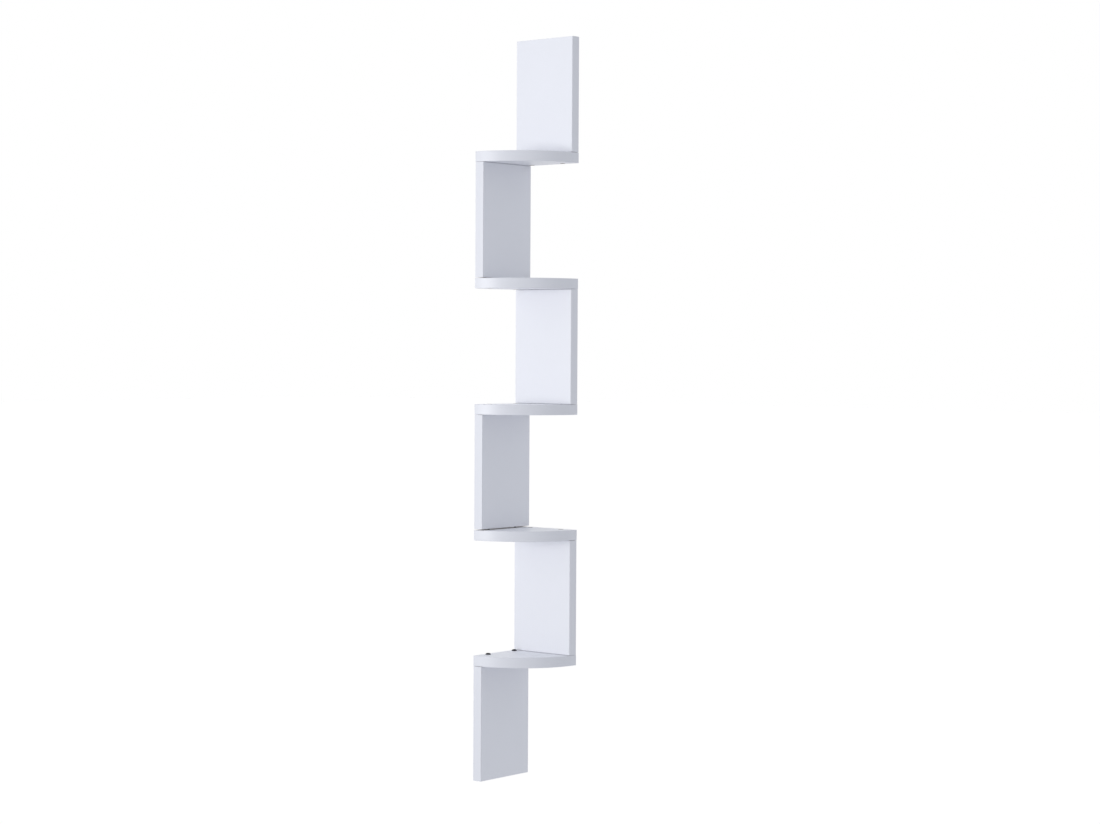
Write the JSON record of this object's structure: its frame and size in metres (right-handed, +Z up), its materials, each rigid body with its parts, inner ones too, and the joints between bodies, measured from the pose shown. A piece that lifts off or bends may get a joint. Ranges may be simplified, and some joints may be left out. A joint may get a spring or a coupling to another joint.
{
  "type": "zigzag corner bookshelf",
  "caption": "Wall-hung zigzag corner bookshelf: quarter-round shelves with a curved front edge, joined by uprights that stand by turns on the left and right wall of a corner.",
  "frame": {"origin": "on the vertical line where the two walls meet, at the height of the foot of the lowest upright", "axes": "+Z up; +X runs along the right wall into the room and -Y runs along the left wall into the room, so the left wall is the plane x = 0 and the right wall is the plane y = 0"},
  "size_m": [0.125, 0.125, 1.275],
  "materials": {
    "white_laminate": "cool white melamine laminate on MDF, smooth satin",
    "edge_band": "white ABS edge band, satin, matched to the laminate",
    "black_screw": "black phosphated steel, satin",
    "zinc_plated_steel": "bright zinc plating, slightly bluish"
  },
  "bodies": {
    "root": {"shelf_1": "white_laminate", "shelf_2": "white_laminate", "shelf_3": "white_laminate", "shelf_4": "white_laminate", "shelf_5": "white_laminate", "upright_1_right": "white_laminate", "upright_2_left": "white_laminate", "upright_3_right": "white_laminate", "upright_4_left": "white_laminate", "upright_5_right": "white_laminate", "upright_6_left": "white_laminate", "shelf_1_edge_band": "edge_band", "shelf_2_edge_band": "edge_band", "shelf_3_edge_band": "edge_band", "shelf_4_edge_band": "edge_band", "shelf_5_edge_band": "edge_band", "upright_1_edge_band": "edge_band", "upright_2_edge_band": "edge_band", "upright_3_edge_band": "edge_band", "upright_4_edge_band": "edge_band", "upright_5_edge_band": "edge_band", "upright_6_edge_band": "edge_band", "shelf_1_screw_up_front": "black_screw", "shelf_1_screw_up_rear": "black_screw", "shelf_1_screw_down_front": "black_screw", "shelf_1_screw_down_rear": "black_screw", "shelf_2_screw_up_front": "black_screw", "shelf_2_screw_up_rear": "black_screw", "shelf_2_screw_down_front": "black_screw", "shelf_2_screw_down_rear": "black_screw", "shelf_3_screw_up_front": "black_screw", "shelf_3_screw_up_rear": "black_screw", "shelf_3_screw_down_front": "black_screw", "shelf_3_screw_down_rear": "black_screw", "shelf_4_screw_up_front": "black_screw", "shelf_4_screw_up_rear": "black_screw", "shelf_4_screw_down_front": "black_screw", "shelf_4_screw_down_rear": "black_screw", "shelf_5_screw_up_front": "black_screw", "shelf_5_screw_up_rear": "black_screw", "shelf_5_screw_down_front": "black_screw", "shelf_5_screw_down_rear": "black_screw", "hanger_plate_1": "zinc_plated_steel", "hanger_plate_2": "zinc_plated_steel", "hanger_plate_5": "zinc_plated_steel", "hanger_plate_6": "zinc_plated_steel", "hanger_plate_1_screw_upper": "zinc_plated_steel", "hanger_plate_1_screw_lower": "zinc_plated_steel", "hanger_plate_2_screw_upper": "zinc_plated_steel", "hanger_plate_2_screw_lower": "zinc_plated_steel", "hanger_plate_5_screw_upper": "zinc_plated_steel", "hanger_plate_5_screw_lower": "zinc_plated_steel", "hanger_plate_6_screw_upper": "zinc_plated_steel", "hanger_plate_6_screw_lower": "zinc_plated_steel"}
  },
  "joints": []
}
